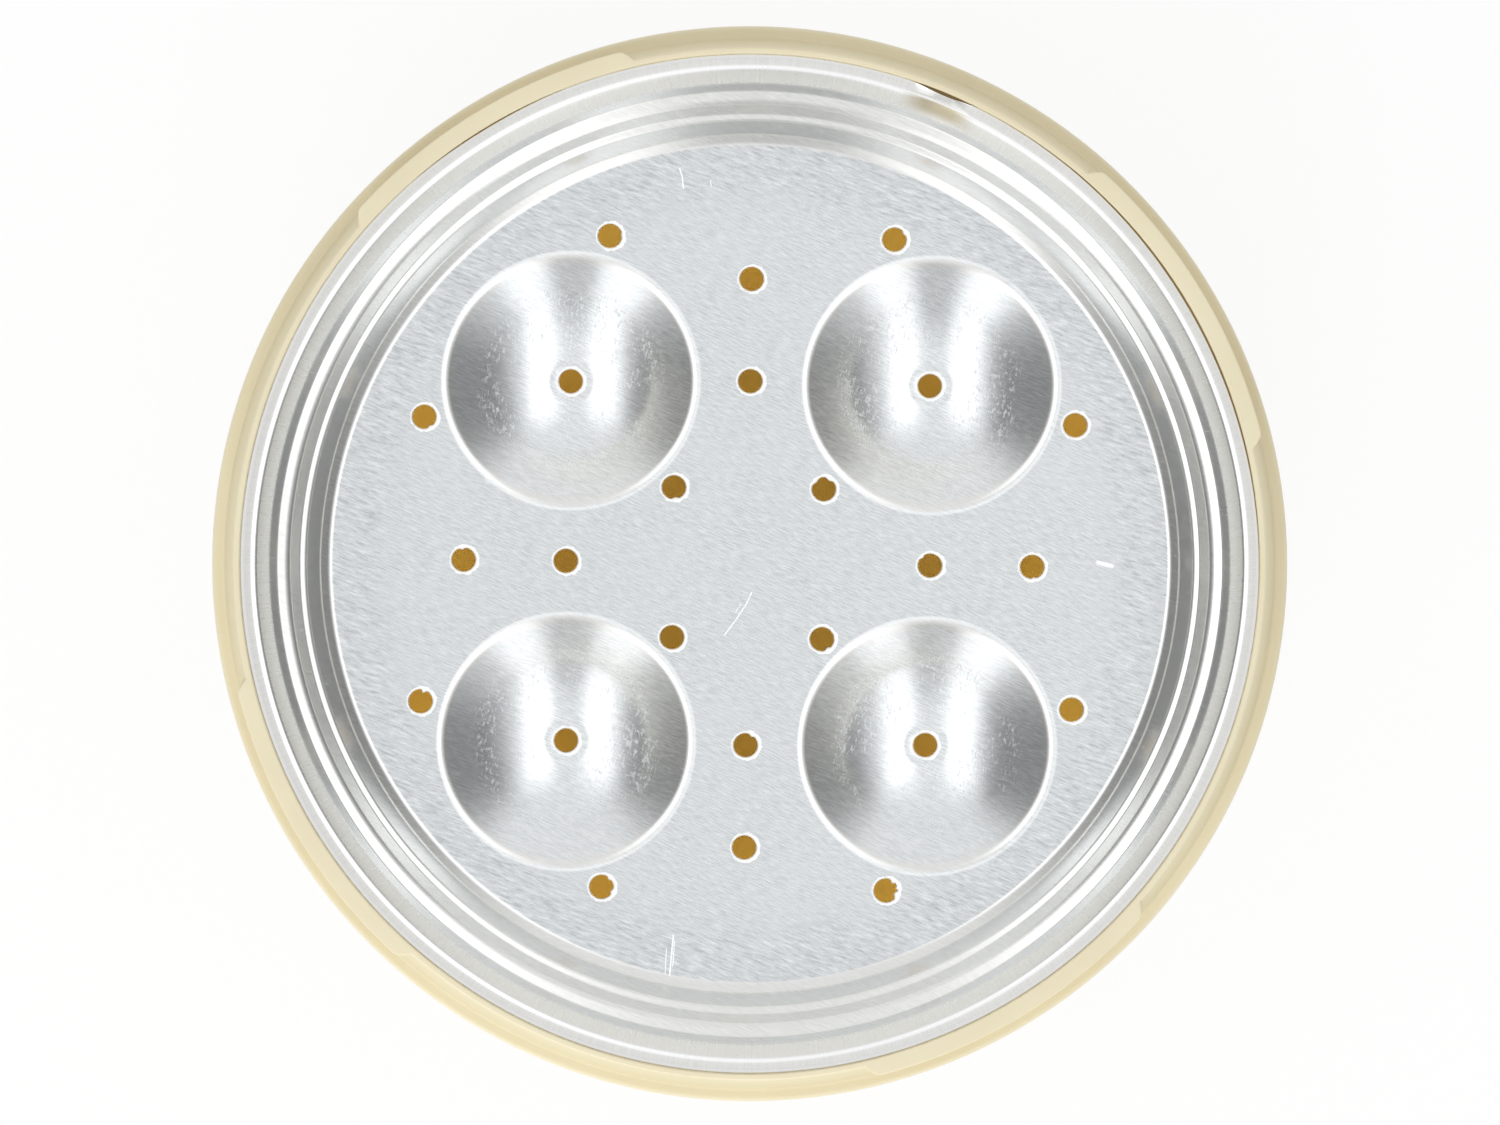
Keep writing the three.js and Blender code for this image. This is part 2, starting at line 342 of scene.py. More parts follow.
def neck_and_rim():
    """The root of the neck, and the rest of its outside with the top of the rim, first without a lug
    and then with one, as two lines of as many points."""
    lug_foot = RIM_HEIGHT - LUG_THICKNESS
    tip = RIM_OUTER_RADIUS + LUG_REACH
    root = rounded_line([
        (BODY_RADIUS - SHOULDER_ROUND, SHOULDER_HEIGHT),
        (NECK_ROOT_RADIUS, SHOULDER_HEIGHT, CORNER_HOLLOW),
        (neck_at(lug_foot), lug_foot),
    ])[1:-1]
    with_lug = rounded_line([
        tuple(root[-1]),
        (neck_at(lug_foot), lug_foot, LUG_ROUND),
        (tip, lug_foot, LUG_ROUND),
        (tip, RIM_HEIGHT, LUG_ROUND),
        (RIM_INNER_RADIUS, RIM_HEIGHT, EDGE_ROUND),
        (RIM_INNER_RADIUS, SEAT_HEIGHT),
    ])[1:-1]
    plain = rounded_line([
        tuple(root[-1]),
        (RIM_OUTER_RADIUS, RIM_HEIGHT, EDGE_ROUND),
        (RIM_INNER_RADIUS, RIM_HEIGHT, EDGE_ROUND),
        (RIM_INNER_RADIUS, SEAT_HEIGHT),
    ])[1:-1]
    spare = len(with_lug) - len(plain)
    run_up = between(root[-1], plain[0], spare + 1)[1:-1]
    return root, run_up + plain, with_lug


def bowl_inside():
    """From the tray's seat down inside the bowl to near the middle of its floor."""
    neck_inside = SHOULDER_HEIGHT - WALL
    side_top = SHOULDER_HEIGHT - SHOULDER_ROUND
    step = BODY_RADIUS - WALL - SEAT_INNER_RADIUS
    start = math.asin((side_top - neck_inside + step) / (side_top - FOOT_HEIGHT))
    side = bowl_side(WALL, start, math.pi / 2)
    seat = rounded_line([
        (RIM_INNER_RADIUS, RIM_HEIGHT - EDGE_ROUND),
        (RIM_INNER_RADIUS, SEAT_HEIGHT, EDGE_ROUND),
        (SEAT_INNER_RADIUS, SEAT_HEIGHT, EDGE_ROUND),
        (SEAT_INNER_RADIUS, neck_inside, WALL),
        tuple(side[1]),
    ])[1:-1]
    return seat + side[1:] + [Vector((INNERMOST_RING, FOOT_HEIGHT + WALL))]


def lug_share(degrees):
    """How far out the lug stands at a bearing: 0 between lugs, 1 on one, and rounded at its ends."""
    for bearing in LUG_BEARINGS:
        inside = (LUG_SPAN / 2 - apart(degrees, bearing)) / LUG_END_SLANT
        if inside > 0:
            return math.sin(min(inside, 1) * math.pi / 2)
    return 0


def make_bowl(material):
    ends = [bearing + side * LUG_SPAN / 2 for bearing in LUG_BEARINGS for side in (-1, 1)]
    dense = [(end - LUG_END_REACH, end + LUG_END_REACH) for end in ends]
    angles = turned_angles(BOWL_STEP, dense, LUG_END_STEP)
    root, plain, with_lug = neck_and_rim()
    outside = bowl_outside()
    inside = bowl_inside()
    shell = Shell()
    rings = []
    for line in (outside, root):
        rings += [shell.ring([polar(p.x, p.y, a) for a in angles]) for p in line]
    for bare, full in zip(plain, with_lug):
        places = [bare.lerp(full, lug_share(a)) for a in angles]
        rings.append(shell.ring([polar(p.x, p.y, a) for p, a in zip(places, angles)]))
    rings += [shell.ring([polar(p.x, p.y, a) for a in angles]) for p in inside]
    shell.skin(rings[::-1])
    shell.fan(rings[-1], (0, 0, FOOT_HEIGHT + WALL))
    shell.fan(rings[0][::-1], (0, 0, FOOT_HEIGHT))
    return shell.object("base_bowl_shell", material)


# The tray

def tray_line():
    """The tray's upper face from the foot of its wall to the edge of its flange. The corner next to the
    edge keeps the flange flat right up to its rounding."""
    corners = [
        (FLANGE_RADIUS, FLANGE_HEIGHT),
        (FLANGE_RADIUS - FLANGE_EDGE_ROUND * 2, FLANGE_HEIGHT),
        (LIP_RADIUS, FLANGE_HEIGHT, LIP_ROUND),
    ]
    for run, drop, rounding in WALL_STRETCHES:
        radius, height = corners[-1][:2]
        corners.append((radius - run, height - drop, rounding))
    corners.append((FLOOR_RADIUS - FLOOR_MARGIN, FLOOR_HEIGHT))
    return rounded_line(corners[::-1], steps=10)


def flange_edge():
    """The sheet's cut edge, from its upper face to its under face."""
    return rounded_line([
        (LIP_RADIUS, FLANGE_HEIGHT),
        (FLANGE_RADIUS, FLANGE_HEIGHT, FLANGE_EDGE_ROUND),
        (FLANGE_RADIUS, FLANGE_HEIGHT - SHEET, FLANGE_EDGE_ROUND),
        (LIP_RADIUS, FLANGE_HEIGHT - SHEET),
    ], steps=3)[1:-1]


def cup_section():
    """A cup with its middle hole: in along its underside, up through the hole and out along its upper
    face. The cup is ball-shaped up to a straight slope, and its edge rolls over into the floor."""
    slope = math.radians(CUP_SLOPE)
    slope_end = CUP_RADIUS - CUP_ROLL * math.sin(slope)
    roll_drop = CUP_ROLL * (1 - math.cos(slope))
    ball = (slope_end * math.tan(slope) + roll_drop - CUP_DEPTH) / (1 / math.cos(slope) - 1)
    ball_height = FLOOR_HEIGHT - CUP_DEPTH + ball
    lip = HOLE_RADIUS + HOLE_ROUND
    flat_turn = math.asin(CUP_FLAT_RADIUS / ball)
    flat_height = ball_height - ball * math.cos(flat_turn)

    def face(depth):
        bottom = -math.pi / 2
        top = math.pi / 2
        bowl = arc((0, ball_height), ball + depth, bottom + flat_turn, bottom + slope, steps=22)
        roll_middle = (CUP_RADIUS, FLOOR_HEIGHT - CUP_ROLL)
        roll = arc(roll_middle, CUP_ROLL - depth, top + slope, top, steps=12)
        return bowl + roll + [Vector((CUP_RADIUS + HOLE_MARGIN, FLOOR_HEIGHT - depth))]

    upper = [Vector((lip, flat_height)), Vector((CUP_FLAT_RADIUS - HOLE_MARGIN, flat_height))] + face(0)
    under = [Vector((HOLE_RADIUS, flat_height - SHEET))] + face(SHEET)
    edge = arc((lip, flat_height - HOLE_ROUND), HOLE_ROUND, math.pi, math.pi / 2, steps=4)
    return under[::-1] + edge[:-1] + upper


def hole_section():
    """A steam hole in the flat floor: in along the underside, up through the hole and out over its
    rolled edge."""
    rim = HOLE_RADIUS + HOLE_ROUND + HOLE_MARGIN
    lip = Vector((HOLE_RADIUS + HOLE_ROUND, FLOOR_HEIGHT - HOLE_ROUND))
    under = [Vector((rim, FLOOR_HEIGHT - SHEET)), Vector((HOLE_RADIUS, FLOOR_HEIGHT - SHEET))]
    edge = arc(lip, HOLE_ROUND, math.pi, math.pi / 2, steps=6)
    return under + edge + [Vector((rim, FLOOR_HEIGHT))]


def burred(radius, degrees, burrs):
    """The radius of a point in a hole's edge, drawn in where a burr reaches into the hole."""
    share = (HOLE_RADIUS + HOLE_ROUND - radius) / HOLE_ROUND
    if share <= 0:
        return radius
    for bearing, width, reach in burrs:
        off = apart(degrees, bearing) / width
        if off < 1:
            radius -= share * reach * (1 + math.cos(off * math.pi)) / 2
    return radius


def floor_spots(floor_radius, rounds):
    """Points spread evenly over the floor, clear of its edge and of the rounds cut out of it."""
    count = int(floor_radius / FLOOR_SPACING) + 1
    row_height = FLOOR_SPACING * math.sqrt(0.75)
    margin = FLOOR_SPACING / 2
    spots = []
    for row in range(-count, count + 1):
        for column in range(-count, count + 1):
            spot = Vector(((column + row % 2 / 2) * FLOOR_SPACING, row * row_height))
            clear = all((spot - Vector(m)).length - r > margin for _, m, r in rounds)
            if clear and floor_radius - spot.length > margin:
                spots.append(spot)
    return spots


# How the floor is cut into triangles: only inside its loops, points this close made one, and none
# whose middle lies deeper than a touch inside a round
INSIDE_ONLY = 1
SAME_POINT = 1e-6
TOUCHING = 1e-3


def flat_floor(shell, outer, rounds):
    """Fills the floor, on both faces, between its outer loop and the rounds cut out of it. Each loop
    is given as (upper ring, under ring), and each round also as (middle, radius)."""
    loops = [outer] + [loop for loop, _, _ in rounds]
    upper = [i for top, _ in loops for i in top]
    under = [i for _, bottom in loops for i in bottom]
    flat = [Vector(shell.points[i][:2]) for i in upper]
    edges = []
    for top, _ in loops:
        first = upper.index(top[0])
        edges += [(first + k, first + (k + 1) % len(top)) for k in range(len(top))]
    floor_radius = flat[0].length
    upper_height = shell.points[upper[0]][2]
    under_height = shell.points[under[0]][2]
    for spot in floor_spots(floor_radius, rounds):
        flat.append(spot)
        upper += shell.ring([(spot.x, spot.y, upper_height)])
        under += shell.ring([(spot.x, spot.y, under_height)])
    cut = delaunay_2d_cdt(flat, edges, [], INSIDE_ONLY, SAME_POINT)
    spots, _, triangles, origins, _, _ = cut
    named = [origin[0] for origin in origins]
    for triangle in triangles:
        middle = sum((spots[i] for i in triangle), Vector((0, 0))) / 3
        if any((middle - Vector(m)).length < r - TOUCHING for _, m, r in rounds):
            continue
        a, b, c = (named[i] for i in triangle)
        shell.faces.append((upper[a], upper[b], upper[c]))
        shell.faces.append((under[a], under[c], under[b]))


def worn(point):
    """A point of the tray, moved where the edge is trimmed short and where the rim is dented."""
    x, y, z = point
    radius = math.hypot(x, y)
    bearing = math.degrees(math.atan2(y, x))
    for middle, width, depth in EDGE_TRIMS:
        off = apart(bearing, middle) / width
        if off < 1 and radius > FLANGE_RADIUS - TRIM_WIDTH:
            short = 1 - depth * (math.cos(off * math.pi) + 1) / 2 / radius
            x, y = x * short, y * short
    return dented((x, y, z))


def dented(point):
    """A point of the tray's rim, moved where the rim has been pried up and in."""
    x, y, z = point
    radius = math.hypot(x, y)
    bearing = math.degrees(math.atan2(y, x))
    off = apart(bearing, DENT_BEARING) / DENT_HALF_WIDTH
    if off >= 1:
        return point
    along = (math.cos(off * math.pi) + 1) / 2
    past_wall = radius - (FLANGE_RADIUS - DENT_FLANGE_WIDTH)
    out = min(max(past_wall / DENT_FLANGE_WIDTH, 0), 1)
    wall = min(max(past_wall / DENT_WALL_WIDTH + 1, 0), 1) * (1 - out)
    lift = along * (DENT_LIFT * out - DENT_SAG * wall)
    shift = along * (DENT_BULGE * wall - DENT_PUSH * out)
    scale = (radius + shift) / radius
    return (x * scale, y * scale, z + lift)


def make_tray(material):
    line = tray_line()
    dense = [(DENT_BEARING - DENT_REACH, DENT_BEARING + DENT_REACH)]
    angles = turned_angles(TRAY_STEP, dense, DENT_STEP)
    section = line[:-1] + flange_edge() + moved_right(line, SHEET)[-2::-1]
    shell = Shell()
    rings = [shell.ring([worn(polar(p.x, p.y, a)) for a in angles]) for p in section]
    shell.skin(rings)
    rounds = []

    def stamp(profile, middle, sides, burrs=()):
        around = [360 * k / sides for k in range(sides)]
        made = []
        for p in profile:
            made.append(shell.ring([polar(burred(p.x, a, burrs), p.y, a, middle) for a in around]))
        shell.skin(made)
        rounds.append(((made[-1], made[0]), middle, profile[-1].x))

    for i in range(CUP_COUNT):
        turn = TRAY_TURN + CUP_SHARE * i
        middle = polar(CUP_CIRCLE, 0, turn + CUP_SHARE / 2, STAMP_SHIFT)[:2]
        stamp(cup_section(), middle, CUP_SIDES)
        for k, (radius, ahead) in enumerate(STEAM_HOLES):
            middle = polar(radius, 0, turn + ahead, STAMP_SHIFT)[:2]
            stamp(hole_section(), middle, HOLE_SIDES, HOLE_BURRS.get((i, k), ()))
    flat_floor(shell, (rings[0], rings[-1]), rounds)
    return shell.object("egg_tray_sheet", material)


# Materials

# A noise's values lie from 0 to 1. A span is the stretch of them over which a look comes or goes,
# and this one holds most of the values
NOISE_SPAN = (0.3, 0.7)


class Nodes:
    """The node tree of a material or a world, with short ways to add to it."""

    def __init__(self, owner):
        owner.use_nodes = True
        self.tree = owner.node_tree
        self.tree.nodes.clear()
        is_world = isinstance(owner, bpy.types.World)
        self.output = self.add("ShaderNodeOutputWorld" if is_world else "ShaderNodeOutputMaterial")

    def add(self, kind, inputs=None, **settings):
        node = self.tree.nodes.new(kind)
        for key, value in settings.items():
            setattr(node, key, value)
        for key, value in (inputs or {}).items():
            self.put(node.inputs[key], value)
        return node

    def put(self, socket, value):
        if isinstance(value, bpy.types.NodeSocket):
            self.tree.links.new(value, socket)
        else:
            socket.default_value = value

    def math(self, operation, a, b=0.0, c=0.0):
        node = self.add("ShaderNodeMath", {0: a, 1: b, 2: c}, operation=operation)
        return node.outputs[0]

    def vector(self, operation, a, b=(0, 0, 0)):
        node = self.add("ShaderNodeVectorMath", {0: a, 1: b}, operation=operation)
        return node.outputs["Value" if operation in ("LENGTH", "DISTANCE", "DOT_PRODUCT") else "Vector"]

    def scaled(self, vector, scale, turn=0.0):
        """Coordinates turned about Z by degrees, then stretched."""
        turned = self.add("ShaderNodeMapping", {0: vector, 2: (0, 0, math.radians(turn))}).outputs[0]
        return self.vector("MULTIPLY", turned, scale)

    def noise(self, vector, scale=1.0, detail=4.0, roughness=0.5):
        inputs = {"Vector": vector, "Scale": scale, "Detail": detail, "Roughness": roughness}
        return self.add("ShaderNodeTexNoise", inputs).outputs["Fac"]

    def ramp(self, value, low, high, to_low=0.0, to_high=1.0):
        """The value taken smoothly from one range to another, and held at its ends."""
        inputs = {
            "Value": value, "From Min": low, "From Max": high, "To Min": to_low, "To Max": to_high,
        }
        return self.add("ShaderNodeMapRange", inputs, interpolation_type="SMOOTHSTEP").outputs[0]

    def band(self, value, rise, fall, peak=1.0):
        """A peak between two smooth steps, each given by where it starts and ends, and 0 outside."""
        return self.math("MULTIPLY", self.ramp(value, *rise), self.ramp(value, *fall, peak, 0))

    def summed(self, start, shares):
        """A value with masks added to it, each times its weight."""
        total = start
        for mask, weight in shares:
            total = self.math("MULTIPLY_ADD", mask, weight, total)
        return total

    def mix(self, share, a, b):
        node = self.add("ShaderNodeMix", {0: share, 6: a, 7: b}, data_type="RGBA")
        return node.outputs[2]

    def place(self):
        """Coordinates in the part's frame, in millimetres."""
        where = self.add("ShaderNodeTexCoord").outputs["Object"]
        return self.vector("MULTIPLY", where, (1 / METRE,) * 3)

    def flat_length(self, place):
        """How far a place lies from the axis."""
        return self.vector("LENGTH", self.vector("MULTIPLY", place, (1, 1, 0)))


# Marks on the sheet

# Scratches on the tray's floor: their two ends, in millimetres from its middle, and their half width
SCRATCHES = [
    (-12.1, -58.9, -12.7, -65.3, 0.17),
    (-11.9, -59.9, -12.2, -63.9, 0.10),
    (-13.2, -61.0, -13.4, -64.9, 0.10),
    (0.3, -4.6, -0.6, -6.5, 0.13),
    (-0.6, -6.5, -2.4, -9.2, 0.13),
    (-2.4, -9.2, -4.0, -11.3, 0.13),
    (-1.4, -6.4, -2.2, -7.6, 0.08),
    (-11.1, 62.6, -10.7, 61.4, 0.16),
    (-10.7, 61.4, -10.5, 59.5, 0.16),
    (-6.2, 60.7, -6.1, 59.8, 0.10),
    (55.2, 0.2, 57.4, -0.4, 0.42),
]
SCRATCH_CORE = 0.4

# Pale edges of the holes and cups, partly their own burrs and wear and partly painted highlight, as
# distances from their middles, and how far the marks lie off them, which puts the holes' painted
# highlight to one side
BURR_HIGHLIGHT_SHIFT = (0.17, -0.04, 0)
BURR_BAND = (HOLE_RADIUS + 0.42, HOLE_RADIUS + 0.58)
BURR_WOBBLE = 0.12
CUP_EDGE_RISE = (CUP_RADIUS - 0.7, CUP_RADIUS - 0.2)
CUP_EDGE_FALL = (CUP_RADIUS - 0.1, CUP_RADIUS + 0.3)
CUP_EDGE_SHARE = 0.45

# Pits in the cups, by their depth under the floor
PIT_RISE = (2.6, 5.0)
PIT_FALL = (7.6, 8.8)
PIT_REST = 0.3
PIT_STRETCH = (2.4, 1.1, 1.1)
PIT_TURN = 8
PIT_SPAN = (0.5, 0.72)
PATCH_SPAN = (0.32, 0.55)

# The painted reflection of the cream rim in the dent, in degrees to either side and in radii
DENT_REFLECTION_SPREAD = (1.4, 5.2)
DENT_REFLECTION_RISE = (LIP_RADIUS - 3.25, LIP_RADIUS - 1.45)
DENT_REFLECTION_FALL = (LIP_RADIUS - 0.45, LIP_RADIUS - 0.15)


def scratch_mask(nodes, place):
    """1 on the scratches, seen from above, and 0 elsewhere."""
    flat = nodes.vector("MULTIPLY", place, (1, 1, 0))
    total = 0.0
    for x0, y0, x1, y1, width in SCRATCHES:
        along = Vector((x1 - x0, y1 - y0, 0))
        reach = nodes.vector("SUBTRACT", flat, (x0, y0, 0))
        share = nodes.vector("DOT_PRODUCT", reach, tuple(along / along.length_squared))
        held = nodes.add("ShaderNodeClamp", {0: share}).outputs[0]
        foot = nodes.add("ShaderNodeVectorMath", {0: tuple(along), 3: held}, operation="SCALE").outputs[0]
        off = nodes.vector("LENGTH", nodes.vector("SUBTRACT", reach, foot))
        mask = nodes.ramp(off, width * SCRATCH_CORE, width, 1, 0)
        total = nodes.math("MAXIMUM", total, mask)
    return total


def stamped_distances(nodes, place):
    """How far a point lies, seen from above, from the nearest steam hole's middle and from a cup's.
    The pattern repeats in each eighth of the floor, so the point is folded into the first."""
    moved = nodes.vector("SUBTRACT", place, (STAMP_SHIFT.x, STAMP_SHIFT.y, 0))
    folded = nodes.vector("ABSOLUTE", nodes.scaled(moved, (1, 1, 0), -TRAY_TURN))
    x, y, _ = nodes.add("ShaderNodeSeparateXYZ", {0: folded}).outputs
    eighth = nodes.add("ShaderNodeCombineXYZ", {
        0: nodes.math("MAXIMUM", x, y), 1: nodes.math("MINIMUM", x, y), 2: 0.0,
    }).outputs[0]
    cup = nodes.vector("DISTANCE", eighth, polar(CUP_CIRCLE, 0, CUP_SHARE / 2))
    hole = cup
    for radius, turn in STEAM_HOLES:
        if turn >= 0:
            off = nodes.vector("DISTANCE", eighth, polar(radius, 0, turn))
            hole = nodes.math("MINIMUM", hole, off)
    return hole, cup


def burr_and_highlight_mask(nodes, place):
    """1 on the torn edges of the steam holes, with a painted highlight to one side of each, and less on
    the cups' rolled edges, partly worn and partly a painted highlight.
    """
    # The shift puts a painted highlight on one side of every hole
    hole_off, cup_off = stamped_distances(nodes, nodes.vector("SUBTRACT", place, BURR_HIGHLIGHT_SHIFT))
    uneven = nodes.noise(place, scale=1.1, detail=2)
    wobble = nodes.ramp(uneven, *NOISE_SPAN, -BURR_WOBBLE, BURR_WOBBLE)
    torn = nodes.ramp(nodes.math("ADD", hole_off, wobble), *BURR_BAND, 1, 0)
    wear_and_highlight = nodes.band(cup_off, CUP_EDGE_RISE, CUP_EDGE_FALL, CUP_EDGE_SHARE)
    return nodes.math("MAXIMUM", torn, wear_and_highlight)


def pit_mask(nodes, place, depth):
    """Small pits, in patches, on the lower half of the cups."""
    zone = nodes.math("MULTIPLY", nodes.ramp(depth, *PIT_RISE), nodes.ramp(depth, *PIT_FALL, 1, PIT_REST))
    patches = nodes.ramp(nodes.noise(place, scale=0.11, detail=2), *PATCH_SPAN)
    spots = nodes.noise(nodes.scaled(place, PIT_STRETCH, PIT_TURN), detail=3, roughness=0.6)
    return nodes.math("MULTIPLY", nodes.ramp(spots, *PIT_SPAN), nodes.math("MULTIPLY", zone, patches))


def painted_dent_reflection(nodes, radius, turn):
    """A painted reflection of the cream plastic rim: a warm patch in the dent, just inside the bend of
    the flange.
    """
    bearing = nodes.math("MULTIPLY", turn, math.degrees(1))
    off = nodes.math("ABSOLUTE", nodes.math("SUBTRACT", bearing, DENT_BEARING))
    across = nodes.ramp(off, *DENT_REFLECTION_SPREAD, 1, 0)
    return nodes.math("MULTIPLY", across, nodes.band(radius, DENT_REFLECTION_RISE, DENT_REFLECTION_FALL))


# The sheet: the way it was rolled, in degrees, and how the noises that draw it are stretched and
# where they show
ROLL_TURN = 24
GRAIN_STRETCH = (0.5, 4.4, 0.5)
MOTTLE_STRETCH = (0.2, 0.75, 0.2)
RUB_STRETCH = (0.4, 2.1, 0.4)
RUB_TURN = 20
SCUFF_STRETCH = (0.3, 1.6, 0.3)
SCUFF_TURN = 4
BRUSH_LINES = 190
BRUSH_LENGTH = 0.13
BRUSH_CONTRAST = 0.5
CLOUD_SPAN = (0.35, 0.7)
RUB_DARK_SPAN = (0.5, 0.68)
RUB_PALE_SPAN = (0.34, 0.48)
SCUFF_SPAN = (0.56, 0.74)

# Depths from the floor, and radii, over which looks of the sheet pass into each other
DRAWN_BAND = (0.004, 0.08)
CUP_BAND = (0.2, 1.2)
# Radii over which the floor's painted shade next to the wall comes in
FLOOR_EDGE_SHADE_BAND = (FLOOR_RADIUS - 14.55, FLOOR_RADIUS - 0.55)
RUB_BAND = (FLOOR_RADIUS - 10.55, FLOOR_RADIUS - 5.55)
BRUSH_BAND = (LIP_RADIUS - 3.45, LIP_RADIUS - 2.45)
GLEAM_BAND = (LIP_RADIUS - 1.25, LIP_RADIUS - 0.05)
# The bead's painted highlight: a pale ring along the bend of the flange
BEAD_HIGHLIGHT_RISE = (LIP_RADIUS - 0.85, LIP_RADIUS - 0.55)
BEAD_HIGHLIGHT_FALL = (LIP_RADIUS - 0.25, LIP_RADIUS + 0.05)
FLANGE_BAND = (LIP_RADIUS - 0.65, LIP_RADIUS + 0.35)
# The flange's outer edge, made smoother and given a painted highlight
TRIM_BAND = (FLANGE_RADIUS - 0.9, FLANGE_RADIUS - 0.3)

# Colours of the sheet, the first four as dark and bright grain
FLOOR_METAL = ((0.60, 0.634, 0.652, 1), (0.88, 0.903, 0.913, 1))
WALL_METAL = ((0.82, 0.818, 0.80, 1), (0.90, 0.90, 0.885, 1))
FLANGE_METAL = ((0.73, 0.725, 0.705, 1), (0.78, 0.775, 0.76, 1))
CUP_METAL = ((0.73, 0.752, 0.765, 1), (0.92, 0.94, 0.95, 1))
MOTTLE_METAL = (0.82, 0.845, 0.855, 1)
CLOUD_METAL = (0.79, 0.815, 0.825, 1)
# Painted shade on the floor next to the wall
FLOOR_EDGE_PAINTED_SHADE = (0.62, 0.645, 0.66, 1)
RUB_DARK = (0.40, 0.425, 0.44, 1)
RUB_PALE = (0.97, 0.985, 0.99, 1)
# Pale colour of the scratches and burrs, and of the painted highlights on the bead, the flange's edge and
# the edges of the holes and cups
PALE_MARK_AND_HIGHLIGHT = (0.985, 0.99, 0.99, 1)
# Painted reflection of the cream rim in the dented wall
DENT_REFLECTION_TAN = (0.56, 0.50, 0.36, 1)

# How strongly the colours and marks show, and the painted shade and highlights
MOTTLE_SHARE = 0.3
CLOUD_SHARE = 0.35
# Strength of the painted shade on the floor next to the wall
FLOOR_EDGE_SHADE_SHARE = 0.3
RUB_DARK_SHARE = 0.5
RUB_PALE_SHARE = 0.55
# Painted highlights on the bead and on the flange's edge
BEAD_HIGHLIGHT_SHARE = 0.8
EDGE_HIGHLIGHT_SHARE = 0.5

SHEET_ROUGHNESS = 0.15
WALL_ANISOTROPY = 0.88
FLANGE_ANISOTROPY = 0.3
SHEET_BUMP = 0.08
SHEET_RELIEF = 0.02


def sheet_grain(nodes, place, radius, turn, brushed):
    """The grain of the rolled sheet and, where it is brushed, fine lines outward."""
    rolled = nodes.noise(nodes.scaled(place, GRAIN_STRETCH, ROLL_TURN), detail=5, roughness=0.66)
    outward = nodes.add("ShaderNodeCombineXYZ", {
        0: nodes.math("MULTIPLY", turn, BRUSH_LINES),
        1: nodes.math("MULTIPLY", radius, BRUSH_LENGTH),
        2: 0.0,
    }).outputs[0]
    fine = nodes.noise(outward, detail=3)
    lines = nodes.math("MULTIPLY_ADD", fine, BRUSH_CONTRAST, (1 - BRUSH_CONTRAST) / 2)
    return nodes.add("ShaderNodeMix", {0: brushed, 2: rolled, 3: lines}).outputs[0]


def floor_colour(nodes, place, radius, bright):
    """The flat floor's colour: its grain, mottled and clouded, with painted shade towards the wall and
    rub marks on its outer part.
    """
    mottle = nodes.noise(nodes.scaled(place, MOTTLE_STRETCH, ROLL_TURN), detail=3, roughness=0.6)
    cloud = nodes.noise(place, scale=0.09, roughness=0.6)
    floor = nodes.mix(bright, *FLOOR_METAL)
    floor = nodes.mix(nodes.ramp(mottle, *NOISE_SPAN, 0, MOTTLE_SHARE), floor, MOTTLE_METAL)
    floor = nodes.mix(nodes.ramp(cloud, *CLOUD_SPAN, 0, CLOUD_SHARE), floor, CLOUD_METAL)
    # Painted shade: the floor darkens towards the foot of the wall
    outer = nodes.ramp(radius, *FLOOR_EDGE_SHADE_BAND, 0, FLOOR_EDGE_SHADE_SHARE)
    floor = nodes.mix(outer, floor, FLOOR_EDGE_PAINTED_SHADE)
    wear_and_highlight = nodes.ramp(radius, *RUB_BAND)
    streak = nodes.noise(nodes.scaled(place, RUB_STRETCH, RUB_TURN), detail=5, roughness=0.65)
    dark = nodes.math("MULTIPLY", wear_and_highlight, nodes.ramp(streak, *RUB_DARK_SPAN, 0, RUB_DARK_SHARE))
    pale = nodes.math("MULTIPLY", wear_and_highlight, nodes.ramp(streak, *RUB_PALE_SPAN, RUB_PALE_SHARE, 0))
    return nodes.mix(pale, nodes.mix(dark, floor, RUB_DARK), RUB_PALE)


def sheet_colour(nodes, place, radius, depth, grain):
    """The sheet's colour on its floor, wall, flange and cups, with painted shade on the floor by the
    wall, and without scratches, burrs, painted highlights and the painted reflection in the dent.
    """
    bright = nodes.ramp(grain, *NOISE_SPAN)
    floor = floor_colour(nodes, place, radius, bright)
    flange = nodes.mix(bright, *FLANGE_METAL)
    wall = nodes.mix(nodes.ramp(radius, *FLANGE_BAND), nodes.mix(bright, *WALL_METAL), flange)
    cup = nodes.mix(bright, *CUP_METAL)
    drawn = nodes.ramp(nodes.math("ABSOLUTE", depth), *DRAWN_BAND)
    return nodes.mix(drawn, floor, nodes.mix(nodes.ramp(depth, *CUP_BAND), wall, cup))


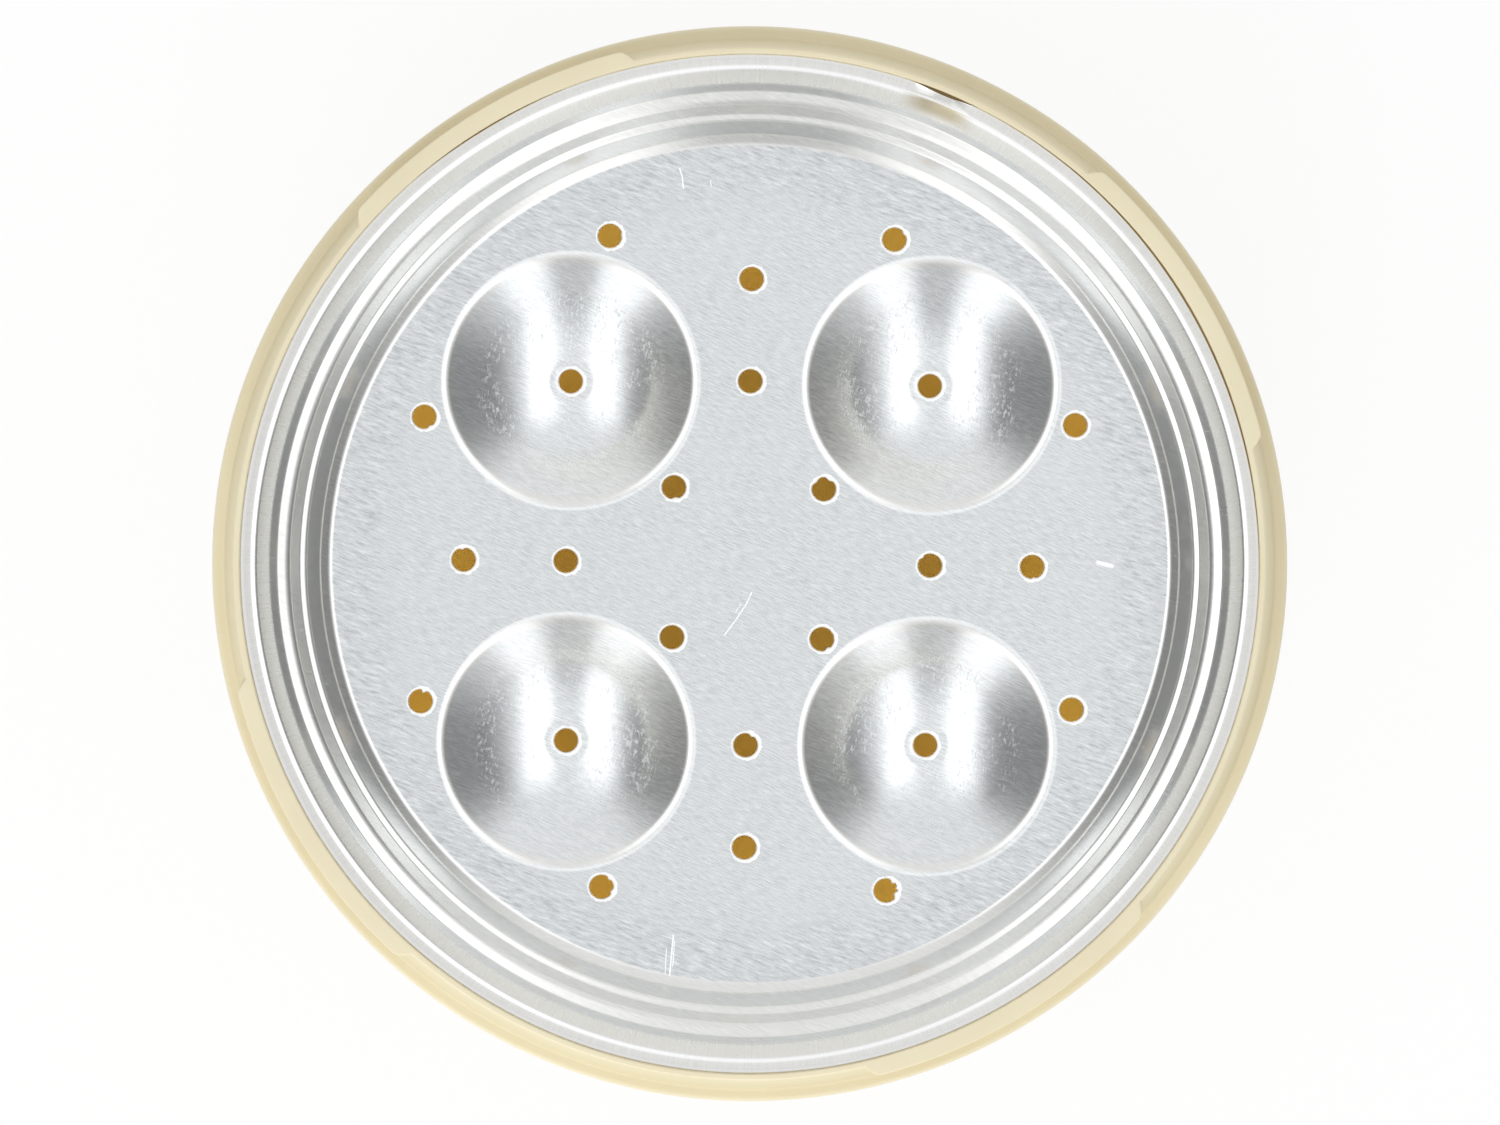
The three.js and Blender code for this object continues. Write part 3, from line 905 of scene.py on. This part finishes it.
def aluminium():
    material = bpy.data.materials.new("aluminium_sheet")
    nodes = Nodes(material)
    place = nodes.place()
    radius = nodes.flat_length(place)
    x, y, z = nodes.add("ShaderNodeSeparateXYZ", {0: place}).outputs
    turn = nodes.math("ARCTAN2", y, x)
    depth = nodes.math("SUBTRACT", FLOOR_HEIGHT, z)
    brushed = nodes.ramp(radius, *BRUSH_BAND)
    trimmed = nodes.ramp(radius, *TRIM_BAND)
    grain = sheet_grain(nodes, place, radius, turn, brushed)
    scratch = scratch_mask(nodes, place)
    burr_and_highlight = burr_and_highlight_mask(nodes, place)
    pits = pit_mask(nodes, place, depth)
    streaks = nodes.noise(nodes.scaled(place, SCUFF_STRETCH, SCUFF_TURN), detail=6, roughness=0.7)
    scuff = nodes.ramp(streaks, *SCUFF_SPAN)

    # Painted highlights: a pale ring along the bead and a pale band at the flange's outer edge
    edge = nodes.math("MULTIPLY", trimmed, EDGE_HIGHLIGHT_SHARE)
    wear_and_highlight = nodes.math("MAXIMUM", nodes.band(radius, BEAD_HIGHLIGHT_RISE, BEAD_HIGHLIGHT_FALL, BEAD_HIGHLIGHT_SHARE), edge)
    pale = nodes.math("MAXIMUM", nodes.math("MAXIMUM", scratch, burr_and_highlight), wear_and_highlight)
    colour = sheet_colour(nodes, place, radius, depth, grain)
    colour = nodes.mix(pale, colour, PALE_MARK_AND_HIGHLIGHT)
    # Painted reflection of the cream rim in the dent
    colour = nodes.mix(painted_dent_reflection(nodes, radius, turn), colour, DENT_REFLECTION_TAN)

    rough = nodes.summed(SHEET_ROUGHNESS, [
        (grain, 0.14), (scuff, 0.06), (scratch, 0.3), (burr_and_highlight, 0.3), (brushed, 0.06), (pits, 0.4),
        (trimmed, -0.2),
    ])
    relief = nodes.summed(grain, [(scratch, -0.6), (pits, 4.0)])
    bump = nodes.add("ShaderNodeBump", {
        "Strength": SHEET_BUMP, "Distance": SHEET_RELIEF * METRE, "Height": relief,
    })
    pull = nodes.ramp(radius, *GLEAM_BAND, WALL_ANISOTROPY, FLANGE_ANISOTROPY)
    tangent = nodes.add("ShaderNodeTangent", direction_type="RADIAL", axis="Z")
    shader = nodes.add("ShaderNodeBsdfPrincipled", {
        "Base Color": colour,
        "Metallic": 1.0,
        "Roughness": rough,
        "Normal": bump.outputs[0],
        "Anisotropic": nodes.math("MULTIPLY", brushed, pull),
        "Tangent": tangent.outputs[0],
    })
    nodes.put(nodes.output.inputs[0], shader.outputs[0])
    return material


# The plastic: heights and radii over which its looks pass into each other
SIDE_BAND = (SHOULDER_HEIGHT - 9, SHOULDER_HEIGHT - 1)
# Painted shade on the outside of the neck, in its recess between the shoulder and the rim
RECESS_SHADE_RISE = (SHOULDER_HEIGHT - 0.4, SHOULDER_HEIGHT + 0.6)
RECESS_SHADE_FALL = (RIM_HEIGHT - 1.6, RIM_HEIGHT - 0.4)
RECESS_SHADE_SHARE = 0.5
# Painted shade on the seat, in the gap under the tray's flange
SEAT_SHADE_RISE = (SEAT_HEIGHT - 0.2, SEAT_HEIGHT - 0.1)
SEAT_SHADE_FALL = (SEAT_HEIGHT + 0.1, SEAT_HEIGHT + 0.5)
SEAT_SHADE_SHARE = 0.8
LAND_BAND = (RIM_INNER_RADIUS + 0.2, RIM_INNER_RADIUS + 0.6)
FACING_BAND = (-4, 4)

# Colours of the plastic, the first four as the darker and the paler end of its clouds
INNER_PLASTIC = ((0.84, 0.815, 0.65, 1), (0.88, 0.865, 0.71, 1))
SIDE_PLASTIC = ((0.83, 0.82, 0.56, 1), (0.87, 0.87, 0.61, 1))
NECK_PLASTIC = ((0.772, 0.712, 0.515, 1), (0.802, 0.745, 0.548, 1))
THROUGH_PLASTIC = ((1.0, 0.53, 0.072, 1), (1.0, 0.57, 0.087, 1))
# Painted shade in the neck's recess
RECESS_PAINTED_SHADE = (0.69, 0.61, 0.36, 1)
# Painted shade on the seat under the tray's flange
SEAT_PAINTED_SHADE = (0.36, 0.26, 0.13, 1)
SPECK_PLASTIC = (0.68, 0.60, 0.41, 1)
WORN_PLASTIC = (0.82, 0.79, 0.66, 1)
WHITE = (1, 1, 1, 1)

# Share of the light that goes on through the bowl's wall and its neck
WALL_THROUGH = 0.27
NECK_THROUGH = 0.06

PLASTIC_IOR = 1.49
PLASTIC_ROUGHNESS = 0.36
PLASTIC_BUMP = 0.12
PLASTIC_RELIEF = 0.03
WEAR_STRETCH = (0.25, 1.4, 1.4)
WEAR_TURN = 35
WEAR_SPAN = (0.58, 0.75)
WEAR_SHARE = 0.3
SPECK_SPAN = (0.62, 0.8)
SPECK_SHARE = 0.35


def plastic_colour(nodes, place, height, facing, neck, cloud, speck, wear):
    """The plastic's colour: inside, on its side and on its neck, with painted shade in the neck's recess
    and on the seat under the tray's flange, and wear.
    """
    clouded = nodes.ramp(cloud, *NOISE_SPAN)
    outside = nodes.ramp(nodes.flat_length(place), *LAND_BAND)
    # Painted shade in the neck's recess
    recess_shade = nodes.math("MULTIPLY", nodes.band(height, RECESS_SHADE_RISE, RECESS_SHADE_FALL, RECESS_SHADE_SHARE), outside)
    # Painted shade on the seat under the tray's flange, inside the rim only
    seat = nodes.band(height, SEAT_SHADE_RISE, SEAT_SHADE_FALL, SEAT_SHADE_SHARE)
    seat = nodes.math("MULTIPLY", seat, nodes.ramp(outside, 0, 1, 1, 0))
    wall = nodes.mix(facing, nodes.mix(cloud, *INNER_PLASTIC), nodes.mix(cloud, *SIDE_PLASTIC))
    colour = nodes.mix(recess_shade, nodes.mix(clouded, *NECK_PLASTIC), RECESS_PAINTED_SHADE)
    colour = nodes.mix(seat, colour, SEAT_PAINTED_SHADE)
    colour = nodes.mix(neck, wall, colour)
    colour = nodes.mix(nodes.ramp(speck, *SPECK_SPAN, 0, SPECK_SHARE), colour, SPECK_PLASTIC)
    return nodes.mix(nodes.math("MULTIPLY", wear, WEAR_SHARE), colour, WORN_PLASTIC)


def plastic():
    """Moulded plastic that lets some light through, and tints it where it goes in."""
    material = bpy.data.materials.new("cream_plastic")
    nodes = Nodes(material)
    place = nodes.place()
    height = nodes.add("ShaderNodeSeparateXYZ", {0: place}).outputs[2]
    face = nodes.add("ShaderNodeNewGeometry").outputs
    flat = nodes.vector("MULTIPLY", place, (1, 1, 0))
    facing = nodes.ramp(nodes.vector("DOT_PRODUCT", face["Normal"], flat), *FACING_BAND)
    within = face["Backfacing"]
    neck = nodes.ramp(height, *SIDE_BAND)
    cloud = nodes.noise(place, scale=0.05, detail=3, roughness=0.55)
    speck = nodes.noise(place, scale=2.6, detail=3, roughness=0.6)
    streaks = nodes.noise(nodes.scaled(place, WEAR_STRETCH, WEAR_TURN), detail=6, roughness=0.7)
    wear = nodes.ramp(streaks, *WEAR_SPAN)

    bump = nodes.add("ShaderNodeBump", {
        "Strength": PLASTIC_BUMP, "Distance": PLASTIC_RELIEF * METRE, "Height": speck,
    })
    solid = nodes.add("ShaderNodeBsdfPrincipled", {
        "Base Color": plastic_colour(nodes, place, height, facing, neck, cloud, speck, wear),
        "Roughness": nodes.summed(PLASTIC_ROUGHNESS, [(speck, 0.12), (wear, 0.1)]),
        "IOR": PLASTIC_IOR,
        "Normal": bump.outputs[0],
    })
    tint = nodes.mix(nodes.ramp(cloud, *NOISE_SPAN), *THROUGH_PLASTIC)
    glow = nodes.add("ShaderNodeBsdfTranslucent", {"Color": nodes.mix(within, tint, WHITE)})
    through = nodes.math("MAXIMUM", nodes.ramp(neck, 0, 1, WALL_THROUGH, NECK_THROUGH), within)
    mixed = nodes.add("ShaderNodeMixShader", {0: through, 1: solid.outputs[0], 2: glow.outputs[0]})
    nodes.put(nodes.output.inputs[0], mixed.outputs[0])
    return material


# Stage

FLOOR_SIZE = 8.0
FLOOR_WHITE = 0.93
FLOOR_GLOW = 0.88

# Under the bowl the floor glows less, out to about the foot's radius: a painted shadow that stays about
# the middle
GLOW_START = 0.75
GLOW_FULL = 1.05
GLOW_UNDER_FOOT = 0.4


def white_floor():
    """A white floor that keeps a light shadow: what the camera and mirrors see of it is partly its own
    white, less so under the foot, where the dimmed glow is a painted shadow."""
    material = bpy.data.materials.new("white_floor")
    nodes = Nodes(material)
    path = nodes.add("ShaderNodeLightPath").outputs
    seen = nodes.math("MAXIMUM", path["Is Camera Ray"], path["Is Glossy Ray"])
    seen = nodes.math("MAXIMUM", seen, path["Is Transmission Ray"])
    lit = nodes.add("ShaderNodeBsdfDiffuse", {"Color": (FLOOR_WHITE, FLOOR_WHITE, FLOOR_WHITE, 1)})
    own = nodes.add("ShaderNodeEmission", {"Color": WHITE, "Strength": 1.0})
    off = nodes.vector("LENGTH", nodes.add("ShaderNodeTexCoord").outputs["Object"])
    foot = FOOT_RADIUS * METRE
    # Painted shadow: the floor's glow is dimmed under the foot
    glow = nodes.ramp(off, foot * GLOW_START, foot * GLOW_FULL, FLOOR_GLOW * GLOW_UNDER_FOOT, FLOOR_GLOW)
    share = nodes.math("MULTIPLY", seen, glow)
    mixed = nodes.add("ShaderNodeMixShader", {0: share, 1: lit.outputs[0], 2: own.outputs[0]})
    nodes.put(nodes.output.inputs[0], mixed.outputs[0])
    half = FLOOR_SIZE / 2
    corners = [(-half, -half, 0), (half, -half, 0), (half, half, 0), (-half, half, 0)]
    mesh = bpy.data.meshes.new("floor")
    mesh.from_pydata(corners, [], [(0, 1, 2, 3)])
    mesh.materials.append(material)
    floor = bpy.data.objects.new("floor", mesh)
    bpy.context.collection.objects.link(floor)


ROOM_LIGHT = 0.82
ROOM_LEVEL = 0.86
ROOM_TINT = (0.995, 1.0, 1.003, 1)
ROOM_FRONT_LEVEL = 0.56
ROOM_SIDE_SHARE = 0.25
SOFTBOX_LEVEL = 0.68

# Where the mirrored room changes, as parts of a unit vector: to the back, or to the side
FRONT_BAND = (-1.05, -0.39)
SIDE_DARK_BAND = (0.55, 1.0)
SIDE_DARK_SPREAD = 0.1
SIDE_DARK_SPREAD_BAND = (0, 0.6)
SOFTBOX_SHIFT = 0.05
SOFTBOX_RISE = (0.145, 0.3)
SOFTBOX_FALL = (0.48, 0.71)
SOFTBOX_END = (0.28, 0.77)


def room():
    """An even, bright room, white to look at. Mirrors show two long soft lamps left and right of the
    middle that end behind the object, and the room darker to the far left and right, and low in front."""
    world = bpy.data.worlds.new("room")
    bpy.context.scene.world = world
    nodes = Nodes(world)
    way = nodes.add("ShaderNodeTexCoord").outputs["Generated"]
    right, back, _ = nodes.add("ShaderNodeSeparateXYZ", {0: way}).outputs
    wall = nodes.ramp(back, *FRONT_BAND, ROOM_FRONT_LEVEL, ROOM_LEVEL)
    spread = nodes.ramp(back, *SIDE_DARK_SPREAD_BAND, 0, SIDE_DARK_SPREAD)
    side = nodes.math("ADD", nodes.math("ABSOLUTE", right), spread)
    wall = nodes.math("MULTIPLY", wall, nodes.ramp(side, *SIDE_DARK_BAND, 1.0, ROOM_SIDE_SHARE))
    aside = nodes.math("ABSOLUTE", nodes.math("ADD", right, SOFTBOX_SHIFT))
    softbox = nodes.band(aside, SOFTBOX_RISE, SOFTBOX_FALL)
    softbox = nodes.math("MULTIPLY", softbox, nodes.ramp(back, *SOFTBOX_END, 1, 0))
    mirrored = nodes.math("MULTIPLY_ADD", softbox, SOFTBOX_LEVEL, wall)
    path = nodes.add("ShaderNodeLightPath").outputs
    seen = nodes.math("MAXIMUM", path["Is Camera Ray"], path["Is Transmission Ray"])
    level = nodes.ramp(seen, 0, 1, ROOM_LIGHT, 1.0)
    level = nodes.add("ShaderNodeMix", {0: path["Is Glossy Ray"], 2: level, 3: mirrored}).outputs[0]
    shade = nodes.add("ShaderNodeBackground", {"Color": ROOM_TINT, "Strength": level})
    nodes.put(nodes.output.inputs[0], shade.outputs[0])


FRONT_LAMP_PLACE = (-0.3, -0.9, 0.7)
FRONT_LAMP_SIZE = 0.8
FRONT_LAMP_POWER = 5.6


def front_lamp():
    """A soft lamp in front of the object. Mirrors do not show it."""
    data = bpy.data.lights.new("front_lamp", "AREA")
    data.size = FRONT_LAMP_SIZE
    data.energy = FRONT_LAMP_POWER
    lamp = bpy.data.objects.new("front_lamp", data)
    lamp.location = FRONT_LAMP_PLACE
    lamp.rotation_euler = (-Vector(FRONT_LAMP_PLACE)).to_track_quat("-Z", "Y").to_euler()
    lamp.visible_glossy = False
    bpy.context.collection.objects.link(lamp)


# Camera: straight above, as the photograph was taken

PHOTO_WIDTH = 1500
PHOTO_HEIGHT = 1125
BODY_PIXELS = 537.6
BODY_CENTRE_PIXELS = (749.7, 563.7)
CAMERA_HEIGHT = 1.75


def overhead_camera():
    """A long lens above the bowl that shows its edge as large as in the photograph, in the same place."""
    edge = Vector((0, 0, (SHOULDER_HEIGHT - SHOULDER_ROUND) * METRE))
    data = bpy.data.cameras.new("camera")
    camera = bpy.data.objects.new("camera", data)
    camera.location = (0, 0, CAMERA_HEIGHT)
    per_metre = BODY_PIXELS / (BODY_RADIUS * METRE)
    right = (PHOTO_WIDTH / 2 - BODY_CENTRE_PIXELS[0]) / per_metre
    up = (BODY_CENTRE_PIXELS[1] - PHOTO_HEIGHT / 2) / per_metre
    aim = edge + Vector((right, up, 0)) - camera.location
    data.sensor_fit = "HORIZONTAL"
    data.lens = data.sensor_width * per_metre * aim.length / PHOTO_WIDTH
    ahead = aim.normalized()
    across = ahead.cross(Vector((0, 1, 0))).normalized()
    camera.rotation_euler = Matrix((across, across.cross(ahead), -ahead)).transposed().to_euler()
    bpy.context.collection.objects.link(camera)
    bpy.context.scene.camera = camera


overhead_camera()
white_floor()
room()
front_lamp()
bpy.context.scene.view_settings.view_transform = "Standard"

bowl = make_bowl(plastic())
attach(bowl, "base")
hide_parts("base_bowl")

tray = make_tray(aluminium())
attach(tray, "tray")
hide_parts("egg_tray")
